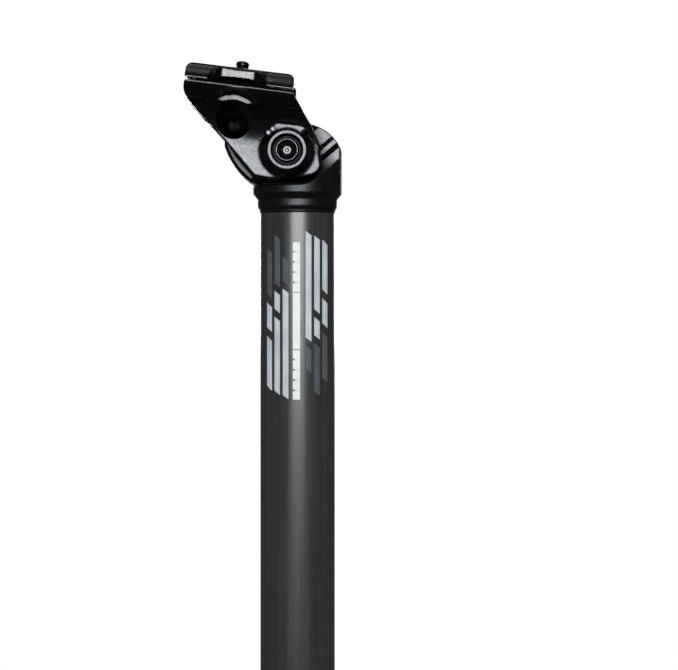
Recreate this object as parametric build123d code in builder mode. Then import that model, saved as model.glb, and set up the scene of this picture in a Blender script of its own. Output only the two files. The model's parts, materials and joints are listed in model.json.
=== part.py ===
"""Bicycle seatpost: a carbon tube, a forged setback head and a two-bolt saddle rail clamp.

Frame: millimetres, +Z up along the tube, +X towards the front of the bicycle, +Y to its left.
The origin is the centre of the tube's lower end. The cross bolt's head is on the -Y side.
The cradle carries both saddle rails and tilts about the cross bolt. The rail bolt stands behind
the tilt pivot, with its head below, and draws the upper clamp down onto the rails.
"""

import math
import os

from build123d import *

# Tube
post_length = 350.0  # from the tube's lower end to the rail axis
tube_diameter = 27.2
tube_wall = 2.4
small_step = 0.4  # where one solid runs a little way into its neighbour

# Saddle rails
rail_diameter = 7.0
rail_spacing = 44.0  # from one rail's axis to the other's
rail_tilt = 7.0  # degrees, nose down from square to the tube

# Tilt pivot, as the head has it and as the cradle has it
pivot_height = 22.2  # above the tube's upper end
pivot_setback = 3.6  # behind the tube's axis
pivot_forward = 20.3  # ahead of the rail bolt, along the rails
pivot_drop = 20.3  # below the rail axis

# Bolts and nuts
tilt_bolt_size = 5.0
tilt_head_diameter = 8.5
tilt_head_height = 4.0
tilt_socket_width = 4.0
tilt_nut_width = 8.0
tilt_nut_height = 4.4
rail_bolt_size = 5.0
rail_head_diameter = 8.5
rail_head_height = 5.0
rail_socket_width = 4.0
rail_nut_width = 8.0
rail_nut_height = 4.2
bolt_hole_room = 0.25  # radial, where a shank passes through a plain hole
thread_room = 0.05  # radial, between a shank and its nut
turning_gap = 0.05  # between faces that turn on each other
overrun = 5.0  # how far a cutting tool runs past the face that it cuts

# Directions and planes
tilt = math.radians(rail_tilt)
rail_height = pivot_height + pivot_forward * math.sin(tilt) + pivot_drop * math.cos(tilt)
tube_length = post_length - rail_height
pivot = Vector(-pivot_setback, 0, tube_length + pivot_height)
along_rails = Vector(math.cos(tilt), 0, -math.sin(tilt))
up_from_rails = Vector(math.sin(tilt), 0, math.cos(tilt))
clamp_centre = pivot - along_rails * pivot_forward + up_from_rails * pivot_drop

neck_plane = Plane(origin=(0, 0, tube_length), x_dir=(1, 0, 0), z_dir=(0, -1, 0))
pivot_plane = Plane(origin=pivot, x_dir=(1, 0, 0), z_dir=(0, -1, 0))
nut_side_plane = Plane(origin=pivot, x_dir=(-1, 0, 0), z_dir=(0, 1, 0))
side_plane = Plane(origin=clamp_centre, x_dir=along_rails, z_dir=(0, -1, 0))
cross_plane = Plane(origin=clamp_centre, x_dir=(0, 1, 0), z_dir=along_rails)
deck_plane = Plane(origin=clamp_centre, x_dir=along_rails, z_dir=up_from_rails)
cheek_plane = Plane(origin=pivot, x_dir=along_rails, z_dir=(0, -1, 0))
far_cheek_plane = Plane(origin=pivot, x_dir=-along_rails, z_dir=(0, 1, 0))


# Seat tube: plain carbon tube, cut square at both ends
tube_radius = tube_diameter / 2
tube_bore_radius = tube_radius - tube_wall

with BuildPart() as seat_tube:
    with BuildSketch():
        Circle(tube_radius)
        Circle(tube_bore_radius, mode=Mode.SUBTRACT)
    extrude(amount=tube_length)
seat_tube.part.label = "seat_tube"


# Head: turned spigot, ring and collar, with a forged lug that carries the tilt pivot.
# The lug is a thick boss at the pivot, a thinner web in front of it and two ears behind it,
# with a slot between the ears that lets a hex key reach the rail bolt.
bond_thickness = 0.2
spigot_length = 38.0
spigot_wall = 3.2
spigot_end_chamfer = 0.8
hollow_height = 6.0  # how far the spigot's bore reaches above the tube's end
lip_proud = 0.2
lip_height = 0.9
ring_proud = 1.0  # past the tube
ring_taper_height = 1.4
ring_height = 2.6
collar_proud = 1.7  # past the ring
collar_taper_height = 2.2
lug_thickness = 18.4
web_thickness = 10.0
boss_radius = 13.3
crown_angle = 49.0  # degrees, where the crown's curve meets the boss
crown_bulge = 1.9
floor_drop = 12.4  # the side pockets' floor, below the pivot
floor_turn = 8.2  # where the floor starts to climb, ahead of the pivot
floor_angle = 42.0
floor_bend = 12.0
neck_front = 7.0
ear_reach = 22.8  # behind the pivot
ear_root_drop = 11.7
ear_heel_height = 1.8
ear_belly = 1.4
ear_tip_height = 6.0
ear_tip_radius = 2.4
ear_root_height = 8.7
ear_root_back = 9.0
ear_bevel = 1.2
ear_bevel_angle = 40.0
slot_width = 9.5
slot_back = 13.6
slot_radius = 14.9  # about the pivot: the rail bolt's head swings outside it
cone_mouth_radius = 7.2
cone_depth = 4.8
cone_angle = 28.0
stripe_angle = 40.0
stripe_length = 12.0
stripe_depth_share = 0.55  # of its width
stripe_wall_angle = 40.0
stripe_reach = 16.0  # ahead of the pivot, at the stripes' middle
stripe_base = 0.6  # above the pivot, at the stripes' middle
stripe_steps = (0.0, 3.2, 10.4)  # from the lowest stripe, square to the stripes
stripe_widths = (1.5, 1.0, 1.3)

spigot_radius = tube_bore_radius - bond_thickness
spigot_bore_radius = spigot_radius - spigot_wall
lip_radius = tube_radius + lip_proud
ring_radius = tube_radius + ring_proud
collar_radius = ring_radius + collar_proud
ring_bottom = lip_height + ring_taper_height
ring_top = ring_bottom + ring_height
collar_bottom = ring_top + collar_taper_height
blank_top = pivot_height + boss_radius
crown_front = pivot_setback + collar_radius
lug_half = lug_thickness / 2
web_half = web_thickness / 2
crown = math.radians(crown_angle)
crown_end = (boss_radius * math.cos(crown), boss_radius * math.sin(crown))
floor_slope = math.tan(math.radians(floor_angle))
floor_run = crown_front + overrun - floor_turn
collar_back = collar_radius - pivot_setback
inside_collar = collar_radius - small_step
neck_back = math.sqrt(inside_collar**2 - lug_half**2) - pivot_setback
blank_depth = pivot_height + spigot_length + overrun

with BuildPart() as post_head:
    with BuildSketch(neck_plane):
        with BuildLine():
            Polyline(
                (spigot_bore_radius, -spigot_length),
                (spigot_radius - spigot_end_chamfer, -spigot_length),
                (spigot_radius, spigot_end_chamfer - spigot_length),
                (spigot_radius, 0),
                (lip_radius, 0),
                (lip_radius, lip_height),
                (ring_radius, ring_bottom),
                (ring_radius, ring_top),
                (collar_radius, collar_bottom),
                (collar_radius, blank_top),
                (0, blank_top),
                (0, hollow_height),
                (spigot_bore_radius, hollow_height),
                close=True,
            )
        make_face()
    revolve(axis=Axis.Z)

    # Side view of the blank: everything below the floor, the neck, the web and the boss
    with BuildSketch(pivot_plane):
        with Locations((0, -floor_drop)):
            Rectangle(
                collar_radius * 2 + overrun * 2,
                blank_depth,
                align=(Align.CENTER, Align.MAX),
            )
        Circle(boss_radius)
        with BuildLine():
            Line((0, 0), crown_end)
            SagittaArc(crown_end, (crown_front, 0), crown_bulge)
            Polyline(
                (crown_front, 0),
                (crown_front + overrun, 0),
                (crown_front + overrun, -floor_drop - overrun),
                (-neck_back, -floor_drop - overrun),
                (-neck_back, 0),
                (0, 0),
            )
        make_face()
    extrude(amount=collar_radius + overrun, both=True, mode=Mode.INTERSECT)

    # Side pockets, down to the web, with a floor that climbs towards the front
    for side in (1, -1):
        with BuildSketch(pivot_plane.offset(side * web_half)):
            with BuildLine():
                FilletPolyline(
                    (-collar_radius * 2, -floor_drop),
                    (floor_turn, -floor_drop),
                    (floor_turn + floor_run, floor_run * floor_slope - floor_drop),
                    radius=floor_bend,
                )
                Polyline(
                    (floor_turn + floor_run, floor_run * floor_slope - floor_drop),
                    (floor_turn + floor_run, boss_radius + overrun),
                    (-collar_radius * 2, boss_radius + overrun),
                    (-collar_radius * 2, -floor_drop),
                )
            make_face()
        extrude(amount=side * (collar_radius + overrun), mode=Mode.SUBTRACT)

    # Boss and neck at the pivot
    with BuildSketch(pivot_plane):
        Circle(boss_radius)
        with BuildLine():
            Polyline(
                (-neck_back, 0),
                (-neck_back, -floor_drop - small_step),
                (neck_front, -floor_drop - small_step),
                (neck_front, 0),
                close=True,
            )
        make_face()
    extrude(amount=lug_half, both=True)

    # Ears behind the pivot, bevelled round their rims
    with BuildSketch(pivot_plane) as ear_outline:
        with BuildLine():
            ear_foot = (-collar_back, -ear_root_drop)
            SagittaArc((-ear_reach, ear_heel_height), ear_foot, -ear_belly)
            Polyline(
                ear_foot,
                (-neck_back, -floor_drop - small_step),
                (0, 0),
                (-ear_root_back, ear_root_height),
                (-ear_reach, ear_tip_height),
                (-ear_reach, ear_heel_height),
            )
        make_face()
        tip = ear_outline.vertices().sort_by(Axis.X)[0:2].sort_by(Axis.Y)[-1]
        fillet(tip, ear_tip_radius)
    ear_half = lug_half - ear_bevel
    extrude(to_extrude=ear_outline.sketch, amount=ear_half, both=True)
    for side in (1, -1):
        rim = ear_outline.sketch.moved(Location((0, side * ear_half, 0)))
        extrude(to_extrude=rim, amount=side * -ear_bevel, taper=ear_bevel_angle)

    # Key slot between the ears
    with BuildSketch(pivot_plane):
        with Locations((-slot_back, 0)):
            Rectangle(
                ear_reach,
                floor_drop * 2 + overrun,
                align=(Align.MAX, Align.CENTER),
            )
        Circle(slot_radius, mode=Mode.SUBTRACT)
    extrude(amount=slot_width / 2, both=True, mode=Mode.SUBTRACT)

    # Conical seats and the cross bolt's hole
    for plane in (pivot_plane, nut_side_plane):
        with BuildSketch(plane.offset(lug_half)):
            Circle(cone_mouth_radius)
        extrude(amount=-cone_depth, taper=cone_angle, mode=Mode.SUBTRACT)
    with BuildSketch(pivot_plane):
        Circle(tilt_bolt_size / 2 + bolt_hole_room)
    extrude(amount=lug_half, both=True, mode=Mode.SUBTRACT)

    # Grooves sunk in both sides of the web, with sloping walls
    lean = math.radians(stripe_angle)
    for step, width in zip(stripe_steps, stripe_widths):
        centre = (
            stripe_reach - step * math.sin(lean),
            stripe_base + step * math.cos(lean),
        )
        for side in (1, -1):
            with BuildSketch(pivot_plane.offset(side * web_half)):
                with Locations(centre):
                    Rectangle(stripe_length, width, rotation=stripe_angle)
            extrude(
                amount=-side * width * stripe_depth_share,
                taper=stripe_wall_angle,
                mode=Mode.SUBTRACT,
            )
post_head.part.label = "post_head"


# Bond: the adhesive sleeve between the spigot and the tube's bore
with BuildPart() as head_bond:
    with BuildSketch(Plane.XY.offset(tube_length)):
        Circle(tube_bore_radius)
        Circle(spigot_radius, mode=Mode.SUBTRACT)
    extrude(amount=spigot_end_chamfer - spigot_length)
head_bond.part.label = "head_bond"


# Lower cradle: a cross-section run along the rails, trimmed to its side view. Two half-round
# channels carry the rails on a deck, and coved flanks run down from them to two cheeks.
lip_gap = 0.9  # between the cradle and the upper clamp, at the rails
channel_wall = 2.8
deck_thickness = 5.0
cheek_inner = 9.4  # from the middle plane
cheek_thickness = 5.0
cove_top = 20.5  # from the middle plane
cove_height = 14.0
cove_bulge = 1.4
lobe_reach = 18.8  # the channels' rear end, behind the rail bolt
lobe_middle = 3.3
lobe_root = (-16.7, -7.2)
heel = (9.3, -31.4)
keel = (21.4, -31.3)
toe = (30.9, -28.4)
toe_front = (33.6, -24.2)
toe_radius = 4.6
brow = (27.6, -10.1)
front_radius = 44.0  # from the toe up to the brow
nose = (20.8, -1.3)
nose_top = 19.9
seat_boss_radius = 6.0
seat_drop = 9.3  # the washer's seat, below the rail axis
scoop_drop = 12.9
scoop_radius = 9.2
scoop_start = 22.0  # from the middle plane
scoop_taper = 20.0
boss_foot_radius = 10.6
boss_face = 17.4  # from the middle plane
boss_taper = 45.0
crescent_radius = 10.2
crescent_base = 3.4
crescent_drop = 0.5
bolt_recess_radius = 5.45
cone_recess_depth = 1.0
cone_recess_room = 0.3
cheek_web = 2.0
dot_radius = 0.8
dot_depth = 0.3
dot_circle = 9.1
dot_angles = (131.0, 144.0)

rail_radius = rail_diameter / 2
rail_offset = rail_spacing / 2
channel_radius = rail_radius + channel_wall
lip = lip_gap / 2
cheek_outer = cheek_inner + cheek_thickness
cheek_floor = pivot_drop + boss_foot_radius + overrun
deck_floor = lip + deck_thickness
recess_floor = cheek_inner + cone_recess_depth + cheek_web
cone_flange_radius = cone_mouth_radius + cone_recess_room

with BuildPart() as lower_cradle:
    with BuildSketch(cross_plane):
        with BuildLine():
            Line((0, -lip), (rail_offset, -lip))
            Line((rail_offset, -lip), (rail_offset, -channel_radius))
            Line((rail_offset, -channel_radius), (cove_top, -channel_radius))
            cove_foot = (cheek_outer, -channel_radius - cove_height)
            SagittaArc((cove_top, -channel_radius), cove_foot, -cove_bulge)
            Polyline(cove_foot, (cheek_outer, -cheek_floor), (0, -cheek_floor), (0, -lip))
        make_face()
        with Locations((rail_offset, 0)):
            Circle(channel_radius)
            Circle(rail_radius, mode=Mode.SUBTRACT)
        with Locations((0, -lip)):
            Rectangle(
                rail_spacing * 2,
                channel_radius * 2,
                align=(Align.CENTER, Align.MIN),
                mode=Mode.SUBTRACT,
            )
        mirror(about=Plane.YZ)
    extrude(amount=rail_spacing, both=True)

    # Side view
    with BuildSketch(side_plane):
        with BuildLine():
            Line((nose_top, 0), (0, 0))
            Line((0, 0), (-lobe_reach + lip, 0))
            ThreePointArc((-lobe_reach + lip, 0), (-lobe_reach, -lobe_middle), lobe_root)
            Line(lobe_root, heel)
            ThreePointArc(heel, keel, toe)
            RadiusArc(toe, toe_front, -toe_radius)
            RadiusArc(toe_front, brow, -front_radius)
            Polyline(brow, nose, (nose_top, 0))
        make_face()
    extrude(amount=rail_spacing, both=True, mode=Mode.INTERSECT)

    # Bosses round the pivot, each with a flat crescent over it
    for plane in (cheek_plane, far_cheek_plane):
        with BuildSketch(plane.offset(cheek_outer)):
            Circle(boss_foot_radius)
        extrude(amount=boss_face - cheek_outer, taper=boss_taper)
        with BuildSketch(plane.offset(cheek_outer)):
            Circle(crescent_radius)
            with Locations((0, crescent_base)):
                Rectangle(
                    crescent_radius * 2,
                    crescent_radius * 2,
                    align=(Align.CENTER, Align.MAX),
                    mode=Mode.SUBTRACT,
                )
        extrude(amount=boss_face - cheek_outer - crescent_drop)

    # Room between the cheeks for the head's lug, with the rail bolt's seat left standing
    with BuildSketch(deck_plane.offset(-deck_floor)):
        Rectangle(rail_spacing * 2, cheek_inner * 2)
        Circle(seat_boss_radius, mode=Mode.SUBTRACT)
    extrude(amount=deck_floor - cheek_floor, mode=Mode.SUBTRACT)
    with BuildSketch(deck_plane.offset(-seat_drop)):
        Circle(seat_boss_radius + small_step)
    extrude(amount=seat_drop - cheek_floor, mode=Mode.SUBTRACT)
    with BuildSketch(deck_plane):
        Circle(rail_bolt_size / 2 + bolt_hole_room)
    extrude(amount=-seat_drop - overrun, mode=Mode.SUBTRACT)

    # Scoops in the flanks, down to the rail bolt
    for side in (1, -1):
        with BuildSketch(side_plane.offset(side * scoop_start)) as scoop:
            with Locations((0, -scoop_drop)):
                Circle(scoop_radius)
        extrude(amount=side * channel_radius * 2, mode=Mode.SUBTRACT)
        extrude(
            to_extrude=scoop.sketch,
            amount=side * (cheek_inner - scoop_start - overrun),
            taper=scoop_taper,
            mode=Mode.SUBTRACT,
        )

    # Recesses for the cross bolt's head, its nut and the two lock cones
    with BuildSketch(cheek_plane.offset(recess_floor)):
        Circle(bolt_recess_radius)
    extrude(amount=boss_face, mode=Mode.SUBTRACT)
    with BuildSketch(far_cheek_plane.offset(recess_floor)):
        RegularPolygon(tilt_nut_width / 2 + turning_gap * 2, 6, major_radius=False)
    extrude(amount=boss_face, mode=Mode.SUBTRACT)
    for plane in (cheek_plane, far_cheek_plane):
        with BuildSketch(plane.offset(cheek_inner + cone_recess_depth)):
            Circle(cone_flange_radius)
        extrude(amount=-cheek_inner, mode=Mode.SUBTRACT)
    with BuildSketch(cheek_plane):
        Circle(tilt_bolt_size / 2 + bolt_hole_room)
    extrude(amount=boss_face, both=True, mode=Mode.SUBTRACT)

    # Index dots
    for plane in (cheek_plane, far_cheek_plane):
        with BuildSketch(plane.offset(boss_face - crescent_drop)):
            for angle in dot_angles:
                turn = math.radians(angle)
                with Locations((dot_circle * math.cos(turn), dot_circle * math.sin(turn))):
                    Circle(dot_radius)
        extrude(amount=-dot_depth, mode=Mode.SUBTRACT)
lower_cradle.part.label = "lower_cradle"


# Upper clamp: two half-round pads over the rails, joined by a slab that holds the nut
pad_rear = -18.8
pad_front = 20.2
pad_end_bevel = 2.6
slab_top = 5.0
waist_radius = 26.0
waist_depth = 8.0
scallop_radius = 15.0
scallop_depth = 4.4
nut_boss_radius = 7.2
nut_boss_top = 7.6
nut_seat = 3.4  # above the rail axis
nut_room = 0.1

with BuildPart() as upper_clamp:
    with BuildSketch(cross_plane):
        with Locations((rail_offset, 0)):
            Circle(channel_radius)
        with Locations((0, lip)):
            Rectangle(rail_offset, slab_top - lip, align=(Align.MIN, Align.MIN))
        with Locations((rail_offset, 0)):
            Circle(rail_radius, mode=Mode.SUBTRACT)
        with Locations((0, lip)):
            Rectangle(
                rail_spacing * 2,
                channel_radius * 2,
                align=(Align.CENTER, Align.MAX),
                mode=Mode.SUBTRACT,
            )
        mirror(about=Plane.YZ)
    extrude(amount=rail_spacing, both=True)
    with BuildSketch(side_plane):
        with BuildLine():
            Polyline(
                (pad_rear + lip, 0),
                (pad_rear, lip * 2),
                (pad_rear, channel_radius - pad_end_bevel),
                (pad_rear + pad_end_bevel, channel_radius),
                (pad_front - pad_end_bevel, channel_radius),
                (pad_front, channel_radius - pad_end_bevel),
                (pad_front, 0),
                close=True,
            )
        make_face()
    extrude(amount=rail_spacing, both=True, mode=Mode.INTERSECT)
    with BuildSketch(deck_plane):
        Circle(nut_boss_radius)
    extrude(amount=nut_boss_top)
    with BuildSketch(deck_plane):
        Circle(nut_boss_radius + overrun)
    extrude(amount=lip, mode=Mode.SUBTRACT)
    # Plan view: a waist at the front and rear, and a scallop over the middle of each rail
    with BuildSketch(deck_plane):
        with Locations((pad_front + waist_radius - waist_depth, 0)):
            Circle(waist_radius)
        with Locations((pad_rear - waist_radius + waist_depth, 0)):
            Circle(waist_radius)
    extrude(amount=channel_radius + overrun, mode=Mode.SUBTRACT)
    scallop_centre = rail_offset + channel_radius + scallop_radius - scallop_depth
    with BuildSketch(deck_plane):
        with Locations((0, scallop_centre), (0, -scallop_centre)):
            Circle(scallop_radius)
    extrude(amount=channel_radius + overrun, mode=Mode.SUBTRACT)
    # Nut pocket and bolt hole
    with BuildSketch(deck_plane.offset(nut_seat)):
        RegularPolygon(rail_nut_width / 2 + nut_room, 6, major_radius=False)
    extrude(amount=nut_boss_top, mode=Mode.SUBTRACT)
    with BuildSketch(deck_plane):
        Circle(rail_bolt_size / 2 + bolt_hole_room)
    extrude(amount=nut_boss_top, mode=Mode.SUBTRACT)
upper_clamp.part.label = "upper_clamp"


# Cross bolt: low socket head, washer and nut
washer_thickness = 0.8
tilt_washer_radius = 5.2
socket_depth_share = 0.6  # of a bolt head's height
head_edge = 0.5
bolt_end_bevel = 0.6
tilt_bolt_end = 17.2  # past the middle plane
tilt_seat = recess_floor + washer_thickness

with BuildPart() as tilt_bolt:
    with BuildSketch(pivot_plane.offset(tilt_seat)):
        Circle(tilt_head_diameter / 2)
    extrude(amount=tilt_head_height)
    chamfer(tilt_bolt.faces().sort_by(Axis.Y)[0].edges(), head_edge)
    with BuildSketch(pivot_plane.offset(tilt_seat)):
        Circle(tilt_bolt_size / 2)
    extrude(amount=-tilt_seat - tilt_bolt_end)
    chamfer(tilt_bolt.faces().sort_by(Axis.Y)[-1].edges(), bolt_end_bevel)
    with BuildSketch(pivot_plane.offset(tilt_seat + tilt_head_height)):
        RegularPolygon(tilt_socket_width / 2, 6, major_radius=False)
    extrude(amount=-tilt_head_height * socket_depth_share, mode=Mode.SUBTRACT)
tilt_bolt.part.label = "tilt_bolt"

with BuildPart() as tilt_washer:
    with BuildSketch(pivot_plane.offset(recess_floor)):
        Circle(tilt_washer_radius)
        Circle(tilt_bolt_size / 2 + thread_room, mode=Mode.SUBTRACT)
    extrude(amount=washer_thickness)
tilt_washer.part.label = "tilt_washer"

with BuildPart() as tilt_nut:
    with BuildSketch(far_cheek_plane.offset(recess_floor)):
        RegularPolygon(tilt_nut_width / 2, 6, major_radius=False)
        Circle(tilt_bolt_size / 2 + thread_room, mode=Mode.SUBTRACT)
    extrude(amount=tilt_nut_height)
tilt_nut.part.label = "tilt_nut"


# Lock cones: each sits in a cheek and wedges into one of the lug's conical seats
cone_tip_gap = 0.3
cone_flange_base = cheek_inner + cone_recess_depth
cone_base = lug_half + turning_gap
cone_length = cone_depth - cone_tip_gap
cone_base_radius = cone_mouth_radius - turning_gap * 2

with BuildPart() as lock_cone_near:
    with BuildSketch(pivot_plane.offset(cone_flange_base)):
        Circle(cone_flange_radius)
    extrude(amount=cone_base - cone_flange_base)
    with BuildSketch(pivot_plane.offset(cone_base)):
        Circle(cone_base_radius)
    extrude(amount=-cone_length, taper=cone_angle)
    with BuildSketch(pivot_plane):
        Circle(tilt_bolt_size / 2 + thread_room)
    extrude(amount=boss_face, mode=Mode.SUBTRACT)
lock_cone_near.part.label = "lock_cone_near"

with BuildPart() as lock_cone_far:
    with BuildSketch(nut_side_plane.offset(cone_flange_base)):
        Circle(cone_flange_radius)
    extrude(amount=cone_base - cone_flange_base)
    with BuildSketch(nut_side_plane.offset(cone_base)):
        Circle(cone_base_radius)
    extrude(amount=-cone_length, taper=cone_angle)
    with BuildSketch(nut_side_plane):
        Circle(tilt_bolt_size / 2 + thread_room)
    extrude(amount=boss_face, mode=Mode.SUBTRACT)
lock_cone_far.part.label = "lock_cone_far"


# Rail bolt: head below, washer against the cradle's seat, nut in the upper clamp
rail_washer_thickness = 1.2
rail_washer_radius = 4.9
rail_bolt_end = 11.0  # above the rail axis
rail_bolt_dome = 1.6
rail_head_top = seat_drop + rail_washer_thickness

with BuildPart() as rail_bolt:
    with BuildSketch(deck_plane.offset(-rail_head_top)):
        Circle(rail_head_diameter / 2)
    extrude(amount=-rail_head_height)
    chamfer(rail_bolt.faces().sort_by(Axis.Z)[0].edges(), head_edge)
    with BuildSketch(deck_plane.offset(-rail_head_top)):
        Circle(rail_bolt_size / 2)
    extrude(amount=rail_head_top + rail_bolt_end)
    fillet(rail_bolt.faces().sort_by(Axis.Z)[-1].edges(), rail_bolt_dome)
    with BuildSketch(deck_plane.offset(-rail_head_top - rail_head_height)):
        RegularPolygon(rail_socket_width / 2, 6, major_radius=False)
    extrude(amount=rail_head_height * socket_depth_share, mode=Mode.SUBTRACT)
rail_bolt.part.label = "rail_bolt"

with BuildPart() as rail_washer:
    with BuildSketch(deck_plane.offset(-rail_head_top)):
        Circle(rail_washer_radius)
        Circle(rail_bolt_size / 2 + thread_room, mode=Mode.SUBTRACT)
    extrude(amount=rail_washer_thickness)
rail_washer.part.label = "rail_washer"

with BuildPart() as clamp_nut:
    with BuildSketch(deck_plane.offset(nut_seat)):
        RegularPolygon(rail_nut_width / 2, 6, major_radius=False)
        Circle(rail_bolt_size / 2 + thread_room, mode=Mode.SUBTRACT)
    extrude(amount=rail_nut_height)
clamp_nut.part.label = "clamp_nut"


# Battery adapter: a plug pressed into the tube's lower end, with two ring grooves round its
# flange and an inner stop for the sleeve
adapter_flange_length = 6.7
adapter_inset = 0.3  # of the flange from the tube's outside
adapter_length = 22.0
adapter_stop_length = 2.0
adapter_stop_radius = 8.3
flange_bevel = 1.2
sleeve_radius = 9.8
sleeve_room = 0.05
ring_wire = 1.2
ring_wire_proud = 0.1
groove_steps = (1.2, 3.5)  # from the tube's end to each groove

flange_radius = tube_radius - adapter_inset
adapter_bore_radius = sleeve_radius + sleeve_room
ring_centre_radius = flange_radius + ring_wire_proud - ring_wire / 2
tube_end_plane = Plane(origin=(0, 0, 0), x_dir=(1, 0, 0), z_dir=(0, -1, 0))

with BuildPart() as battery_adapter:
    with BuildSketch(tube_end_plane):
        with BuildLine():
            Polyline(
                (adapter_bore_radius, -adapter_flange_length),
                (flange_radius - flange_bevel, -adapter_flange_length),
                (flange_radius, flange_bevel - adapter_flange_length),
                (flange_radius, 0),
                (tube_bore_radius, 0),
                (tube_bore_radius, adapter_length),
                (adapter_stop_radius, adapter_length),
                (adapter_stop_radius, adapter_length - adapter_stop_length),
                (adapter_bore_radius, adapter_length - adapter_stop_length),
                close=True,
            )
        make_face()
        for step in groove_steps:
            with Locations((ring_centre_radius - ring_wire / 2, -step)):
                Rectangle(
                    ring_wire * 2,
                    ring_wire,
                    align=(Align.MIN, Align.MAX),
                    mode=Mode.SUBTRACT,
                )
    revolve(axis=Axis.Z)
battery_adapter.part.label = "battery_adapter"

with BuildPart() as adapter_ring_upper:
    with BuildSketch(tube_end_plane):
        with Locations((ring_centre_radius, -groove_steps[0] - ring_wire / 2)):
            Circle(ring_wire / 2)
    revolve(axis=Axis.Z)
adapter_ring_upper.part.label = "adapter_ring_upper"

with BuildPart() as adapter_ring_lower:
    with BuildSketch(tube_end_plane):
        with Locations((ring_centre_radius, -groove_steps[1] - ring_wire / 2)):
            Circle(ring_wire / 2)
    revolve(axis=Axis.Z)
adapter_ring_lower.part.label = "adapter_ring_lower"


# Battery sleeve: slides up into the adapter, with a split snap ring near its lower end
sleeve_bore_radius = 8.5
sleeve_reach = 8.0  # below the adapter
sleeve_edge = 0.4
sleeve_slit_width = 2.0
sleeve_slit_length = 12.0
snap_groove_depth = 0.5
snap_width = 1.0
snap_depth = 1.1
snap_setback = 2.0  # from the sleeve's end
snap_opening = 50.0  # degrees

sleeve_bottom = -adapter_flange_length - sleeve_reach
sleeve_top = adapter_length - adapter_stop_length - turning_gap
snap_bottom = sleeve_bottom + snap_setback
snap_outer_radius = sleeve_bore_radius + snap_groove_depth

with BuildPart() as battery_sleeve:
    with BuildSketch(tube_end_plane):
        with BuildLine():
            Polyline(
                (sleeve_bore_radius, sleeve_bottom),
                (sleeve_radius - sleeve_edge, sleeve_bottom),
                (sleeve_radius, sleeve_bottom + sleeve_edge),
                (sleeve_radius, sleeve_top),
                (sleeve_bore_radius, sleeve_top),
                (sleeve_bore_radius, snap_bottom + snap_width),
                (snap_outer_radius, snap_bottom + snap_width),
                (snap_outer_radius, snap_bottom),
                (sleeve_bore_radius, snap_bottom),
                close=True,
            )
        make_face()
    revolve(axis=Axis.Z)
    with BuildSketch(Plane.XY.offset(sleeve_top)):
        Rectangle(sleeve_radius * 2 + overrun, sleeve_slit_width)
    extrude(amount=-sleeve_slit_length, mode=Mode.SUBTRACT)
battery_sleeve.part.label = "battery_sleeve"

with BuildPart() as snap_ring:
    with BuildSketch(tube_end_plane):
        with Locations((snap_outer_radius - snap_depth, snap_bottom)):
            Rectangle(snap_depth, snap_width, align=(Align.MIN, Align.MIN))
    revolve(axis=Axis.Z, revolution_arc=360 - snap_opening)
snap_ring.part.label = "snap_ring"


os.makedirs("parts", exist_ok=True)
pieces = (
    seat_tube,
    post_head,
    head_bond,
    lower_cradle,
    lock_cone_near,
    lock_cone_far,
    tilt_bolt,
    tilt_washer,
    tilt_nut,
    upper_clamp,
    clamp_nut,
    rail_bolt,
    rail_washer,
    battery_adapter,
    adapter_ring_upper,
    adapter_ring_lower,
    battery_sleeve,
    snap_ring,
)
for piece in pieces:
    export_step(piece.part, f"parts/{piece.part.label}.step")
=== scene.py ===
import json
import math

import bmesh
import bpy
import numpy as np
from mathutils import Matrix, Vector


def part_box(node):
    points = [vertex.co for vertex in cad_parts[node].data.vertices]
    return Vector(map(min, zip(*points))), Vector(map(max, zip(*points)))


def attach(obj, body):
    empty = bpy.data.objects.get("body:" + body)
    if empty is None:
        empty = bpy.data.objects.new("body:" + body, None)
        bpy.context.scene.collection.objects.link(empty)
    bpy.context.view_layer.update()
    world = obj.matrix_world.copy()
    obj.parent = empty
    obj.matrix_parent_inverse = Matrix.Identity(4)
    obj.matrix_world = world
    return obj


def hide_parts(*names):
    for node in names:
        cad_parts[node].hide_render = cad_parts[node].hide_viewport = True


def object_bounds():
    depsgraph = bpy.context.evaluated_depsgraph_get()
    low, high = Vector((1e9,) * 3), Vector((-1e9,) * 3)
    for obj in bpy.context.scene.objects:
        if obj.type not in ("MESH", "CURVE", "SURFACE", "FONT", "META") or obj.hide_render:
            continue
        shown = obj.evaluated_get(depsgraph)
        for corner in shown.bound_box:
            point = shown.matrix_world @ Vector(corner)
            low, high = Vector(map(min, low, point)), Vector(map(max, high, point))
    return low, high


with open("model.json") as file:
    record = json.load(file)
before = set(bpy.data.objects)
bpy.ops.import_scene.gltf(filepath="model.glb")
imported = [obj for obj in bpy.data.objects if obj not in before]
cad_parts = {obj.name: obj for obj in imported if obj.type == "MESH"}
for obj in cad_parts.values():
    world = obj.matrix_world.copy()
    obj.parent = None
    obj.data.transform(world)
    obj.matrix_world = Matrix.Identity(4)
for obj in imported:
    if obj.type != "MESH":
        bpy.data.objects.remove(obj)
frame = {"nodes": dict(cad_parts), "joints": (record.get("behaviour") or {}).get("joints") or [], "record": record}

cadLow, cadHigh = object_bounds()
nodes = frame["nodes"]
joints = {joint["name"]: joint for joint in frame["joints"]}
millimetre = 0.001
sameSpot = 1e-7  # points of a new mesh closer than this are one point, in metres
print("frame loaded,", len(nodes), "nodes")


def addToScene(name, data):
    thing = bpy.data.objects.new(name, data)
    bpy.context.scene.collection.objects.link(thing)
    return thing


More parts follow.
